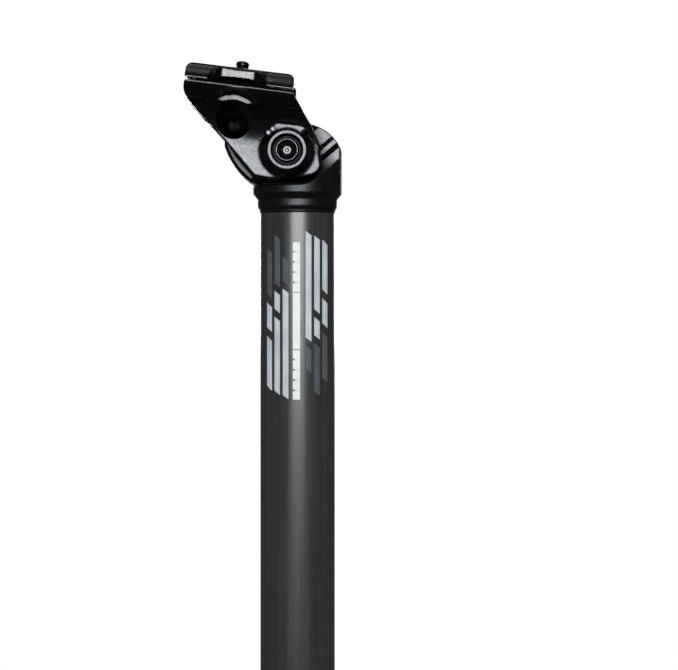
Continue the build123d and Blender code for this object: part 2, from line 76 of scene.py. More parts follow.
# Camera: level, square to the side of the post, a little above the middle of what shows
cameraSettings = {
    "photoWidth": 678,
    "pixelsPerMetre": 2730.0,  # in the middle plane
    "distance": 0.95,  # from the middle plane
    "centreX": 0.01516,
    "centreZ": 0.26068,
    "sensor": 36.0,
    "clip": (0.01, 20.0),
}


def buildCamera(settings):
    focalPixels = settings["pixelsPerMetre"] * settings["distance"]
    data = bpy.data.cameras.new("studioCamera")
    data.sensor_width = settings["sensor"]
    data.lens = focalPixels * settings["sensor"] / settings["photoWidth"]
    data.clip_start, data.clip_end = settings["clip"]
    camera = addToScene("studioCamera", data)
    camera.location = (settings["centreX"], -settings["distance"], settings["centreZ"])
    camera.rotation_euler = (math.pi / 2, 0, 0)
    bpy.context.scene.camera = camera
    bpy.context.scene.view_settings.view_transform = "Standard"


# Node helpers: one call adds a shader node, sets its settings and fills its sockets
def addNode(tree, kind, inputs=None, **settings):
    node = tree.nodes.new("ShaderNode" + kind)
    for name, value in settings.items():
        setattr(node, name, value)
    for socket, value in (inputs or {}).items():
        target = node.inputs[socket]
        if isinstance(value, bpy.types.NodeSocket):
            tree.links.new(value, target)
        else:
            target.default_value = value
    return node


def objectCoordinates(tree):
    return addNode(tree, "TexCoord").outputs["Object"]


# Kinds of noise: detail and roughness
noiseKinds = {
    "cloud": (4.0, 0.55),
    "mottle": (3.0, 0.55),
    "brushed": (3.0, 0.6),
    "grain": (2.0, 0.6),
    "softGrain": (2.0, 0.55),
    "tows": (2.0, 0.5),
}


def noise(tree, coordinates, scale, kind, stretch=None):
    if stretch is not None:
        stretched = {"Vector": coordinates, "Scale": stretch}
        coordinates = addNode(tree, "Mapping", stretched).outputs["Vector"]
    detail, roughness = noiseKinds[kind]
    inputs = {"Vector": coordinates, "Scale": scale, "Detail": detail, "Roughness": roughness}
    return addNode(tree, "TexNoise", inputs).outputs["Fac"]


def remap(tree, value, result=(0.0, 1.0), span=(0.3, 0.7)):
    # The value's place in the span, from 0 to 1, or carried over to the result's two ends
    ends = {"From Min": span[0], "From Max": span[1], "To Min": result[0], "To Max": result[1]}
    return addNode(tree, "MapRange", {"Value": value, **ends}).outputs["Result"]


def combine(tree, first, second, operation):
    return addNode(tree, "Math", {0: first, 1: second}, operation=operation).outputs["Value"]


def opaque(colour):
    return colour if isinstance(colour, bpy.types.NodeSocket) else (*colour, 1.0)


def mixColours(tree, factor, first, second):
    # The colour sockets of a Mix node are its inputs 6 and 7 and its output 2
    inputs = {0: factor, 6: opaque(first), 7: opaque(second)}
    return addNode(tree, "Mix", inputs, data_type="RGBA").outputs[2]


def bump(tree, height, strength, distance, normal=None):
    inputs = {"Height": height, "Strength": strength, "Distance": distance}
    if normal is not None:
        inputs["Normal"] = normal
    return addNode(tree, "Bump", inputs).outputs["Normal"]


def blankMaterial(name):
    material = bpy.data.materials.new(name)
    material.use_nodes = True
    material.node_tree.nodes.clear()
    return material, material.node_tree


def skinned(material, tree, values, colour, roughness, normal):
    # The material's shader comes last, with its plain values and its three linked ones
    linked = {"Base Color": colour, "Roughness": roughness, "Normal": normal}
    shader = addNode(tree, "BsdfPrincipled", {**values, **linked})
    addNode(tree, "OutputMaterial", {"Surface": shader.outputs["BSDF"]})
    return material


occlusionSamples = 8
bevelSamples = 6


def paintShadeInRecesses(tree, look, body):
    # Painted shade: dark where the surroundings close in, and the body's colour where they are open
    reach = {"Distance": look["recessReach"]}
    openness = addNode(tree, "AmbientOcclusion", reach, samples=occlusionSamples).outputs["AO"]
    return mixColours(tree, remap(tree, openness, span=look["open"]), look["paintedShade"], body)


bareMetal = {"Metallic": 1.0}

# Black anodised alloy: forged flanks; rougher, bead-blasted faces square to the bolts that are painted paler as a
# highlight; painted shade in recesses; and a coat rubbed thin along the edges
alloyLook = {
    "dark": (0.030, 0.032, 0.035),
    "pale": (0.048, 0.051, 0.055),
    # Tones of the painted highlight on faces square to the bolts
    "paintedLitDark": (0.070, 0.073, 0.078),
    "paintedLitPale": (0.185, 0.19, 0.20),
    "rubbed": (0.30, 0.31, 0.32),
    # Colour of the painted shade in recesses
    "paintedShade": (0.006, 0.006, 0.007),
    "flankRoughness": (0.28, 0.34),
    "faceRoughness": (0.36, 0.44),
    "coarseGrain": 2300.0,  # dimples per metre
    "fineGrain": 5600.0,
    "coarseDepth": 0.00006,
    "fineDepth": 0.00002,
    "relief": 0.5,
    "speckled": (0.16, 0.38),
    "cloudScale": 70.0,
    "cloudWear": (0.2, 0.8),
    "squareness": (0.985, 0.996),  # of a face to the bolts, from flank to the rougher face with its painted highlight
    "recessReach": 0.006,
    "open": (0.34, 0.90),  # ambient occlusion from closed to open
    "worn": (0.53, 0.60),
    "above": (),  # slopes and levels that the painted highlight on square faces stays over
}

# What differs on the head, and on the upper clamp, which is painted darker as shade, with a brighter painted
# highlight on its square faces
headLook = {
    "dark": (0.036, 0.038, 0.041),
    "pale": (0.058, 0.061, 0.065),
    "rubbed": (0.12, 0.125, 0.13),
    "flankRoughness": (0.36, 0.42),
    "recessReach": 0.007,
    "open": (0.40, 0.90),
    "worn": (0.55, 0.66),
    "squareness": (0.955, 0.992),
    "above": ((0.0, 0.3178), (0.6256, 0.31443)),
}
# Upper clamp: a darker copy of the clamp alloy as painted shade, with a brighter painted highlight on faces square
# to the bolts
padPaintedLight = {
    "dark": (0.016, 0.017, 0.019),
    "pale": (0.026, 0.028, 0.030),
    "paintedLitDark": (0.12, 0.125, 0.13),
    "paintedLitPale": (0.22, 0.225, 0.23),
    "rubbed": (0.10, 0.105, 0.11),
    "squareness": (0.972, 0.999),
    "recessReach": 0.003,
}


def anodisedAlloy(name, look):
    material, tree = blankMaterial(name)
    where = addNode(tree, "TexCoord").outputs
    cloud = noise(tree, where["Object"], look["cloudScale"], "cloud")
    coarse = noise(tree, where["Object"], look["coarseGrain"], "grain")
    fine = noise(tree, where["Object"], look["fineGrain"], "grain")
    sideways = addNode(tree, "SeparateXYZ", {"Vector": where["Normal"]}).outputs["Y"]
    square = combine(tree, sideways, 0.0, "ABSOLUTE")
    # Faces square to the bolts: painted paler as a highlight, and also rougher
    face = remap(tree, square, span=look["squareness"])
    place = addNode(tree, "SeparateXYZ", {"Vector": where["Object"]}).outputs
    for slope, level in look["above"]:
        over = combine(tree, place["Z"], combine(tree, place["X"], slope, "MULTIPLY"), "SUBTRACT")
        face = combine(tree, face, combine(tree, over, level, "GREATER_THAN"), "MULTIPLY")
    speck = remap(tree, combine(tree, coarse, fine, "MULTIPLY"), span=look["speckled"])
    flank = mixColours(tree, speck, look["dark"], look["pale"])
    paintedLit = mixColours(tree, speck, look["paintedLitDark"], look["paintedLitPale"])
    body = mixColours(tree, face, flank, paintedLit)
    sharpness = addNode(tree, "NewGeometry").outputs["Pointiness"]
    sharp = remap(tree, sharpness, span=look["worn"])
    edge = combine(tree, sharp, remap(tree, cloud, look["cloudWear"]), "MULTIPLY")
    # Recesses get painted shade
    colour = paintShadeInRecesses(tree, look, mixColours(tree, edge, body, look["rubbed"]))
    smooth = remap(tree, cloud, look["flankRoughness"])
    rougher = combine(tree, remap(tree, cloud, look["faceRoughness"]), smooth, "SUBTRACT")
    roughness = combine(tree, smooth, combine(tree, rougher, face, "MULTIPLY"), "ADD")
    dimpled = bump(tree, coarse, look["relief"], look["coarseDepth"])
    dimpled = bump(tree, fine, look["relief"], look["fineDepth"], dimpled)
    return skinned(material, tree, bareMetal, colour, roughness, dimpled)


# Carbon tube: lengthwise fibres under a smooth clear coat
carbonLook = {
    "metallic": 0.45,
    "coatRoughness": 0.27,
    "coatIOR": 1.58,
    "dark": (0.020, 0.021, 0.022),
    "pale": (0.036, 0.037, 0.039),
    "fibre": 6500.0,  # per metre
    "fibreDepth": 0.00001,
    "relief": 0.4,  # strength of the bump
    "towShare": 0.12,
    "stretch": (1.0, 1.0, 0.02),
    "contrast": (0.12, 0.40),
    "roughness": (0.36, 0.50),
}


def carbonFibre(name, look):
    material, tree = blankMaterial(name)
    where = objectCoordinates(tree)
    fibres = noise(tree, where, look["fibre"], "grain", look["stretch"])
    tows = noise(tree, where, look["fibre"] * look["towShare"], "tows", look["stretch"])
    both = combine(tree, fibres, tows, "MULTIPLY")
    colour = mixColours(tree, remap(tree, both, span=look["contrast"]), look["dark"], look["pale"])
    normal = bump(tree, fibres, look["relief"], look["fibreDepth"])
    coat = {"Coat Weight": 1.0, "Coat Roughness": look["coatRoughness"], "Coat IOR": look["coatIOR"]}
    values = {"Metallic": look["metallic"], **coat}
    return skinned(material, tree, values, colour, remap(tree, tows, look["roughness"]), normal)


# Black-oxide steel: dark, with a painted highlight along its thin edges and painted shade in its recesses
oxideLook = {
    "dark": (0.026, 0.027, 0.029),
    "pale": (0.060, 0.062, 0.066),
    "paintedHighlight": (0.26, 0.265, 0.275),
    # Colour of the painted shade in recesses
    "paintedShade": (0.004, 0.004, 0.005),
    "recessReach": 0.012,
    "open": (0.25, 0.75),
    "edgeRadius": 0.00010,
    "edgeTurn": (0.80, 0.99),  # cosines of an edge's turn from its face, from painted highlight to plain
    "highlightShare": 0.6,  # of the painted highlight's tone, at the brightest
    "cloudScale": 260.0,
    "grain": 6000.0,
    "grainDepth": 0.00001,
    "relief": 0.4,
    "roughness": (0.22, 0.32),
}
# The cross bolt's rim gets a painted highlight, in metres from its axis
paintedRimHighlight = {"centre": joints["cross_bolt_turn"]["pos_m"], "inner": 0.00356, "outer": 0.00392, "soft": 0.00005}


def rimHighlightShare(tree, where, rim):
    # Where the painted rim highlight goes: 1 on a narrow ring round the cross bolt's axis, 0 elsewhere
    offset = addNode(tree, "VectorMath", {0: where, 1: rim["centre"]}, operation="SUBTRACT")
    level = addNode(tree, "VectorMath", {0: offset.outputs[0], 1: (1, 0, 1)}, operation="MULTIPLY")
    reach = addNode(tree, "VectorMath", {0: level.outputs[0]}, operation="LENGTH").outputs["Value"]
    inside = remap(tree, reach, span=(rim["inner"], rim["inner"] + rim["soft"]))
    outside = remap(tree, reach, (1.0, 0.0), (rim["outer"] - rim["soft"], rim["outer"]))
    return combine(tree, inside, outside, "MULTIPLY")


def bevelled(tree, radius):
    # The surface's direction, turned over every sharp edge as if the edge were rounded
    return addNode(tree, "Bevel", {"Radius": radius}, samples=bevelSamples).outputs["Normal"]


def oxideSteel(name, look, rim=None):
    material, tree = blankMaterial(name)
    where = objectCoordinates(tree)
    cloud = noise(tree, where, look["cloudScale"], "cloud")
    grain = noise(tree, where, look["grain"], "softGrain")
    rounded = bevelled(tree, look["edgeRadius"])
    face = addNode(tree, "NewGeometry").outputs["Normal"]
    agree = addNode(tree, "VectorMath", {0: rounded, 1: face}, operation="DOT_PRODUCT")
    # Sharp edges get a painted highlight
    edge = remap(tree, agree.outputs["Value"], (look["highlightShare"], 0.0), look["edgeTurn"])
    body = mixColours(tree, remap(tree, cloud), look["dark"], look["pale"])
    # The cross bolt's rim joins the painted edge highlight
    if rim is not None:
        edge = combine(tree, edge, rimHighlightShare(tree, where, rim), "MAXIMUM")
    # Recesses get painted shade
    colour = paintShadeInRecesses(tree, look, mixColours(tree, edge, body, look["paintedHighlight"]))
    normal = bump(tree, grain, look["relief"], look["grainDepth"], rounded)
    return skinned(material, tree, bareMetal, colour, remap(tree, cloud, look["roughness"]), normal)


# Bright ground steel: tint and roughness
groundLooks = {
    "groundCones": ((0.42, 0.42, 0.43), (0.28, 0.42)),
    "springSteel": ((0.60, 0.61, 0.63), (0.2, 0.3)),
    "socketSteel": ((0.29, 0.295, 0.30), (0.34, 0.42)),
}
grinding = {
    "lines": 900.0,
    "stretch": (1.0, 8.0, 1.0),
    "cloudScale": 150.0,
    "darkShare": 0.8,
    "relief": 0.4,
    "depth": 0.00001,
}


def groundSteel(name, tint, roughness):
    material, tree = blankMaterial(name)
    where = objectCoordinates(tree)
    lines = noise(tree, where, grinding["lines"], "brushed", grinding["stretch"])
    cloud = noise(tree, where, grinding["cloudScale"], "mottle")
    dark = tuple(grinding["darkShare"] * part for part in tint)
    colour = mixColours(tree, remap(tree, cloud), dark, tint)
    normal = bump(tree, lines, grinding["relief"], grinding["depth"])
    return skinned(material, tree, bareMetal, colour, remap(tree, lines, roughness), normal)


# Moulded plastic, rubber, ink and cured adhesive share one form, a mottled body with a fine skin:
# dark and pale tones, roughness, grains per metre and their depth
skinLooks = {
    "curedBond": ((0.09, 0.085, 0.07), (0.13, 0.125, 0.11), (0.5, 0.65), 1500.0, 0.00002),
    "adapterPlastic": ((0.020, 0.022, 0.026), (0.032, 0.034, 0.039), (0.38, 0.5), 2600.0, 0.00002),
    "sleevePlastic": ((0.024, 0.030, 0.042), (0.036, 0.044, 0.058), (0.28, 0.38), 3000.0, 0.00001),
    "ringRubber": ((0.010, 0.010, 0.010), (0.019, 0.019, 0.019), (0.55, 0.72), 2200.0, 0.00002),
    "silverInk": ((0.27, 0.30, 0.33), (0.38, 0.41, 0.44), (0.34, 0.46), 1400.0, 0.00001),
    "whiteInk": ((0.42, 0.455, 0.465), (0.51, 0.55, 0.56), (0.36, 0.48), 1400.0, 0.00001),
    "slateInk": ((0.040, 0.047, 0.055), (0.058, 0.066, 0.077), (0.34, 0.46), 1400.0, 0.00001),
}
moulding = {"cloudScale": 120.0, "edgeRadius": 0.00015, "relief": 0.5}


def mouldedSkin(name, dark, pale, roughness, grain, depth):
    material, tree = blankMaterial(name)
    where = objectCoordinates(tree)
    cloud = noise(tree, where, moulding["cloudScale"], "cloud")
    skin = noise(tree, where, grain, "mottle")
    rounded = bevelled(tree, moulding["edgeRadius"])
    colour = mixColours(tree, remap(tree, cloud), dark, pale)
    normal = bump(tree, skin, moulding["relief"], depth, rounded)
    return skinned(material, tree, {}, colour, remap(tree, cloud, roughness), normal)


steels = {name: groundSteel(name, *look) for name, look in groundLooks.items()}
skins = {name: mouldedSkin(name, *look) for name, look in skinLooks.items()}
finishes = {
    "tube_carbon": carbonFibre("carbonTube", carbonLook),
    "head_alloy": anodisedAlloy("anodisedHead", {**alloyLook, **headLook}),
    "clamp_alloy": anodisedAlloy("anodisedClamp", alloyLook),
    "cone_steel": steels["groundCones"],
    "bolt_steel": oxideSteel("oxideBolts", oxideLook),
    "bond": skins["curedBond"],
    "adapter_plastic": skins["adapterPlastic"],
    "sleeve_plastic": skins["sleevePlastic"],
    "ring_rubber": skins["ringRubber"],
    "snap_steel": steels["springSteel"],
}
# Two pieces differ a little from the rest of their slots: the upper clamp by painted shade and highlight, the
# cross bolt by a painted highlight on its rim
ownFinishes = {
    "upper_clamp": anodisedAlloy("anodisedPadsPaintedLight", {**alloyLook, **padPaintedLight}),
    "tilt_bolt": oxideSteel("oxideCrossBolt", oxideLook, paintedRimHighlight),
}
for part in frame["record"]["subparts"]:
    node = nodes[part["node"]]
    node.data.materials.clear()
    node.data.materials.append(finishes[part["material_slot"]])
slotOf = {part["node"]: part["material_slot"] for part in frame["record"]["subparts"]}
bodyOf = {name: body for body, names in frame["record"]["behaviour"]["bodies"].items() for name in names}
print("finishes on", len(nodes), "nodes")


# Mesh helpers
def linkPiece(name, mesh, material, body):
    mesh.materials.clear()
    mesh.materials.append(material)
    mesh.polygons.foreach_set("use_smooth", np.ones(len(mesh.polygons), bool))
    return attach(addToScene(name, mesh), body)


def standFor(node, name, mesh):
    # The new mesh takes the node's place, on the node's body and in its slot
    piece = linkPiece(name, mesh, ownFinishes.get(node, finishes[slotOf[node]]), bodyOf[node])
    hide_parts(node)


def mergePoints(mesh, reach, outward=False):
    work = bmesh.new()
    work.from_mesh(mesh)
    bmesh.ops.remove_doubles(work, verts=work.verts, dist=reach)
    if outward:
        bmesh.ops.recalc_face_normals(work, faces=work.faces)
    work.to_mesh(mesh)
    work.free()


def gridMesh(name, points, closeRows=False, closeColumns=True):
    # Rows by columns of points, joined in fours; equal points are merged and faces turned outward
    rows, columns = points.shape[:2]
    index = np.arange(rows * columns).reshape(rows, columns)
    below = np.roll(index, -1, 0) if closeRows else index[1:]
    here = index if closeRows else index[:-1]
    if closeColumns:
        right, diagonal = np.roll(here, -1, 1), np.roll(below, -1, 1)
    else:
        here, right, below, diagonal = here[:, :-1], here[:, 1:], below[:, :-1], below[:, 1:]
    faces = np.stack([here, right, diagonal, below], -1).reshape(-1, 4)
    mesh = bpy.data.meshes.new(name)
    mesh.from_pydata(points.reshape(-1, 3).tolist(), [], faces.tolist())
    mergePoints(mesh, sameSpot, outward=True)
    return mesh


steep = 0.9  # a direction's share of Y, over which its helper is X instead of Y


def axisFrame(origin, direction):
    # Two directions square to the axis, and the axis itself
    along = np.array(direction) / np.linalg.norm(direction)
    first = np.cross(along, (0, 1, 0)) if abs(along[1]) < steep else np.array((1.0, 0, 0))
    first /= np.linalg.norm(first)
    return np.array(origin), first, np.cross(along, first), along


uprightAxis = axisFrame((0, 0, 0), (0, 0, 1))


def fullTurns(count):
    return np.linspace(0, 2 * np.pi, count, endpoint=False)[None, :]


def turned(radii, heights, turns, place):
    # Origin, plus radius times the turn's cosine and sine, plus height along the axis
    origin, first, second, along = place
    radii, heights = np.broadcast_arrays(radii, heights)
    around = np.cos(turns)[..., None] * first + np.sin(turns)[..., None] * second
    return origin + radii[..., None] * around + heights[..., None] * along


def lathed(profile, count, place):
    # A profile of radii and heights, carried round the axis
    table = np.array(profile, float)
    return turned(table[:, :1], table[:, 1:], fullTurns(count), place)


def wave(value):
    # A triangle wave from 0 to 1 and back
    return np.abs((value % 1.0) * 2 - 1)


def hexShare(turns):
    # A hexagon's reach over its flats, by the turn
    return 1 / np.cos((turns + np.pi / 6) % (np.pi / 3) - np.pi / 6)


# Places in millimetres: the tilt pivot, the rail bolt's crossing with the rails, and the rails' own
# directions
pivotPlace = np.array(joints["cradle_tilt"]["pos_m"]) / millimetre
clampPlace = np.array(joints["rail_bolt_turn"]["pos_m"]) / millimetre
upFromRails = -np.array(joints["rail_bolt_turn"]["axis"], float)
alongRails = np.array((upFromRails[2], 0.0, -upFromRails[0]))


def fromMiddle(points):
    return np.sign(points[:, 1]), np.abs(points[:, 1])


def fromPivot(points):
    return points[:, 0] - pivotPlace[0], points[:, 2] - pivotPlace[2]


def fromRails(points, centre):
    offset = points - centre
    return offset @ alongRails, offset @ upFromRails


def onCircle(radius, angle):
    return radius * np.array((math.cos(angle), math.sin(angle)))


def ramp(value, start, end):
    # A smooth step from 0 to 1
    share = np.clip((value - start) / (end - start), 0, 1)
    return share * share * (3 - 2 * share)


# Reshaping of single forgings, each by a formula on its points, in millimetres
railOffset = 22.0  # of each rail from the middle plane
webHalf = 5.0
cheekLevel = 14.4
tiny = 1e-6

# The plate over each boss with its dots, and the boss's cone and the flank's cove that it sinks into;
# degrees are about the pivot, from the rails' direction
crescent = {
    "inner": 7.7,
    "outer": 10.5,
    "base": 2.9,
    "coneTop": 24.5,  # where the boss's cone would reach the axis, from the middle plane
    "coveCentre": (35.88, -21.33),  # of the cove's arc: from the middle plane, and from the rails
    "coveRadius": 21.5,
    "from": (42.0, 62.0),
    "to": (122.0, 130.0),
    "dotCircle": 9.1,
    "dotAngles": (131.0, 144.0),
    "dotRadius": 1.0,  # round each dot, the plate stays
}


def arcRise(radius, away):
    # A circle's height over its middle, by the distance to the side of it
    return np.sqrt(np.maximum(radius**2 - away**2, 0))


def coveLevel(up, form):
    # The flank's distance from the middle plane, by the height over the rails
    across, middle = form["coveCentre"]
    return across - arcRise(form["coveRadius"], up - middle)


scoopForm = {
    "drop": 12.9,  # of the scoop's axis under the rails
    "radius": 9.2,
    "reach": 12.5,  # from the axis to where the flank stays
    "narrower": 0.7,
    "lower": 1.0,  # more, at the top of the scoop
    "deeper": 1.4,  # more, at its inner end
    "deep": (10.0, 15.0),  # the inner end, from the middle plane
    "cheek": 9.0,  # nothing moves nearer to the middle plane
    "top": (0.2, 1.0),
    "shelfRadius": 9.8,
    "shelfLevel": 25.5,
    "shelfBend": 45.0,  # radius of the shelf's fall to its ends
}


def narrowScoop(points, form):
    # The scoop's wall draws in towards its axis, most at its top, and the flank round it follows
    along, up = fromRails(points, clampPlace)
    up = up + form["drop"]
    reach = np.maximum(np.hypot(along, up), tiny)
    draw = form["narrower"] + form["lower"] * ramp(up / reach, *form["top"])
    draw = draw + form["deeper"] * (1 - ramp(np.abs(points[:, 1]), *form["deep"]))
    draw = draw * (1 - ramp(reach, form["radius"], form["reach"])) * (np.abs(points[:, 1]) > form["cheek"])
    outward = (along[:, None] * alongRails + up[:, None] * upFromRails) / reach[:, None]
    points -= draw[:, None] * outward


def pressShelf(points, form):
    # A shelf round the top of each scoop, square to the middle plane and falling a little to its ends
    along, up = fromRails(points, clampPlace)
    inside = np.hypot(along, up + form["drop"]) < form["shelfRadius"]
    side, depth = fromMiddle(points)
    level = form["shelfLevel"] - along**2 / (2 * form["shelfBend"])
    points[:, 1] = side * np.where(inside, np.minimum(depth, level), depth)


lipForm = {
    "offset": railOffset,
    "lip": 0.95,
    "slope": 0.32,
    "fade": (3.0, 6.3),  # from the seam, where the slope ends
    "wall": (4.2, 5.6),  # from the rail's middle
    "beside": (-2.0, -1.0),  # no slope nearer to the rail bolt than this
}


def slopeWalls(points, form):
    # Behind a narrow lip at the seam, the channel's outer wall slopes in
    side, depth = fromMiddle(points)
    along, up = fromRails(points, clampPlace)
    away = np.abs(up)
    outer = ramp(np.hypot(depth - form["offset"], away), *form["wall"]) * (depth > form["offset"])
    outer = outer * ramp(np.abs(along), *form["beside"])
    inset = form["slope"] * np.maximum(away - form["lip"], 0) * (1 - ramp(away, *form["fade"]))
    points[:, 1] = side * (depth - inset * outer)


padForm = {
    "middle": 0.7,  # of the pads, along the rails
    "half": 19.5,
    "bevel": 2.6,
    "slab": 5.0,  # top of the slab between the pads, over the rails
    "outer": 6.3,  # radii of a pad and of its channel
    "inner": 3.5,
    "offset": railOffset,
    "centre": 38.9,  # of the scallop's arc, from the middle plane
    "radius": 15.0,
    "floor": 25.0,
    "flat": 4.4,  # half the floor's flat length, and the radius that it bends out with
    "bend": 10.0,
    "wallRoom": 0.12,  # how near the wall, the channel or the bevel counts as on it
    "channelRoom": 0.1,
    "bevelRoom": 0.1,
}


def fillScallop(points, form):
    # The scallop's wall gets a nearly flat floor: its points move out, and spread between the
    # channel and the pad's round top
    along, up = fromRails(points, clampPlace)
    side, depth = fromMiddle(points)
    wall = form["centre"] - arcRise(form["radius"], along)
    floor = form["floor"] + np.maximum(np.abs(along) - form["flat"], 0) ** 2 / (2 * form["bend"])
    was, out = np.minimum(wall, floor) - form["offset"], np.maximum(wall, floor) - form["offset"]
    lowWas, low = arcRise(form["inner"], was), arcRise(form["inner"], out)
    highWas, high = arcRise(form["outer"], was), arcRise(form["outer"], out)
    onWall = (np.abs(depth - wall) < form["wallRoom"]) & (wall < floor) & (up > lowWas - form["channelRoom"])
    share = np.clip((up - lowWas) / np.maximum(highWas - lowWas, tiny), 0, 1)
    points[:, 1] = side * np.where(onWall, floor, depth)
    points += (onWall * (low + share * (high - low) - up))[:, None] * upFromRails


def roundPadEnds(points, form):
    # The bevel at each end of the pads becomes a quarter circle
    along, up = fromRails(points, clampPlace)
    depth = np.abs(points[:, 1]) - form["offset"]
    outward = np.sign(along - form["middle"])
    beyond = np.abs(along - form["middle"]) - (form["half"] - form["bevel"])
    over = up - (form["outer"] - form["bevel"])
    reach = np.maximum(np.hypot(beyond, over), tiny)
    onBevel = (beyond > 0) & (over > 0) & (beyond + over > form["bevel"] - form["bevelRoom"])
    grow = np.where(onBevel, form["bevel"] / reach - 1, 0)
    top = arcRise(form["outer"], depth)
    top = np.where(depth < 0, np.maximum(top, form["slab"]), top)
    rise = np.where(onBevel, np.minimum(up + grow * over, np.maximum(top, up)) - up, 0)
    points += (grow * beyond * outward)[:, None] * alongRails + rise[:, None] * upFromRails


bossForm = {
    "from": (4.9, 5.45, 7.6, 10.6, 10.9),  # the solid's radii
    "to": (4.9, 5.66, 7.04, 9.95, 10.9),  # the same on the piece
    "floor": 12.5,
    "cheek": 14.43,  # just over the cheeks
    "plate": (3.2, 8.0, 10.4),  # over this height and between these radii, the crescent stays
}


def trimBoss(points, form):
    # Radial sizes of the boss: its recess, ring and foot
    depth = fromMiddle(points)[1]
    x, z = fromPivot(points)
    reach = np.maximum(np.hypot(x, z), tiny)
    height = fromRails(points, pivotPlace)[1]
    base, start, end = form["plate"]
    onPlate = (height > base) & (reach > start) & (reach < end)
    chosen = (depth > np.where(reach < form["from"][2], form["floor"], form["cheek"])) & ~onPlate
    scale = np.where(chosen, np.interp(reach, form["from"], form["to"]) / reach, 1)
    within = (reach > form["from"][0]) & (reach < form["from"][-1])
    scale = np.where(within, scale, 1)
    points[:, 0] = pivotPlace[0] + x * scale
    points[:, 2] = pivotPlace[2] + z * scale


seatForm = {"radius": 6.2, "level": -9.3, "near": 0.2, "room": 0.04}


def clearSeat(points, form):
    # The washer's seat stands a hair off the washer
    along, up = fromRails(points, clampPlace)
    near = (np.hypot(along, points[:, 1]) < form["radius"]) & (np.abs(up - form["level"]) < form["near"])
    points += (near * form["room"])[:, None] * upFromRails


# Which part of the neck's sides leans: two depths, two heights and a reach from the pivot
neckForm = {"depth": (8.4, 9.3), "below": -9.4, "floor": -13.2, "reach": 12.5, "slope": 0.5}


def leanNeck(points, form):
    # Under the cradle, the neck's sides fall away downwards
    side, depth = fromMiddle(points)
    x, z = fromPivot(points)
    low, high = form["depth"]
    near = (np.abs(x) < form["reach"]) & (z < form["below"]) & (z > form["floor"]) & (depth > low)
    points[:, 1] = side * (depth - near * (depth < high) * form["slope"] * (form["below"] - z))


rimForm = {
    "level": cheekLevel,
    "radius": 1.3,
    "skin": 0.05,  # what counts as on the cheek
    "deep": 5.0,  # how far in the edge's own wall goes along
    "fade": (-20.4, -18.4),
    # The cheek's lower outline, along and up from the rail bolt's crossing with the rails
    "outline": (
        (-16.7, -7.2), (9.3, -31.4), (13.7, -31.8), (18.1, -31.7), (22.5, -31.1), (26.8, -30.0),
        (30.9, -28.4), (32.3, -27.4), (33.3, -25.9), (33.6, -24.2), (32.2, -19.3), (30.1, -14.6),
        (27.6, -10.1),
    ),
}


def roundRim(points, form):
    # The cheeks' outer edge falls away in a quarter circle
    along, up = fromRails(points, clampPlace)
    side, depth = fromMiddle(points)
    inset = np.full(len(points), form["radius"])
    corners = np.array(form["outline"])
    for start, span in zip(corners[:-1], np.diff(corners, axis=0)):
        share = np.clip(((along - start[0]) * span[0] + (up - start[1]) * span[1]) / (span @ span), 0, 1)
        away = np.hypot(along - start[0] - share * span[0], up - start[1] - share * span[1])
        inset = np.minimum(inset, away)
    drop = form["radius"] - arcRise(form["radius"], form["radius"] - inset)
    drop = drop * (1 - ramp(up, *form["fade"]))
    wall = np.minimum(depth, form["level"] - drop)
    lowered = np.where(depth > form["level"] - form["skin"], depth - drop, wall)
    points[:, 1] = side * np.where((drop > 0) & (depth > form["level"] - form["deep"]), lowered, depth)


bossFront = {
    "radius": 11.3,
    "web": webHalf,
    "from": (-36.0, -24.0),  # degrees about the pivot, from level in front
    "to": (70.0, 84.0),
    "floor": (0.9, -19.4),  # slope and level of the pockets' floor, from the pivot
}


def narrowBoss(points, form):
    # In front of the pivot, the boss's rim falls to the web behind the cradle's edge
    side, depth = fromMiddle(points)
    x, z = fromPivot(points)
    turn = np.degrees(np.arctan2(z, x))
    share = ramp(turn, *form["from"]) * (1 - ramp(turn, *form["to"])) * (np.hypot(x, z) > form["radius"])
    slope, level = form["floor"]
    share = share * (z - slope * x > level)
    excess = np.maximum(depth - form["web"], 0)
    points[:, 1] = side * (depth - excess * share)


def taperCrescent(points, form):
    # The plate over each boss sinks to the boss's cone or the cove at both ends, but at its dots
    side, depth = fromMiddle(points)
    along, up = fromRails(points, pivotPlace)
    along = -side * along
    reach, turn = np.hypot(along, up), np.degrees(np.arctan2(up, along))
    keep = ramp(turn, *form["from"]) * (1 - ramp(turn, *form["to"]))
    for angle in np.radians(form["dotAngles"]):
        dot = onCircle(form["dotCircle"], angle)
        keep = np.maximum(keep, np.hypot(along - dot[0], up - dot[1]) < form["dotRadius"])
    fromAxis = fromRails(points, clampPlace)[1]
    floor = np.maximum(form["coneTop"] - reach, coveLevel(fromAxis, form))
    within = (reach > form["inner"]) & (reach < form["outer"]) & (up > form["base"]) & (depth > floor)
    points[:, 1] = side * np.where(within, floor + (depth - floor) * keep, depth)


webGrooves = {
    "turn": 40.0,
    "middle": (16.0, 0.6),  # of the first groove, from the pivot
    "steps": (0.0, 3.2, 10.4),
    "widths": (1.3, 0.85, 1.3),
    "half": 6.0,  # of a groove's length
    "web": webHalf,
    "slope": 2.6,
    "over": 0.1,  # what counts as in a groove, over and under the web's face
    "under": 1.5,
}


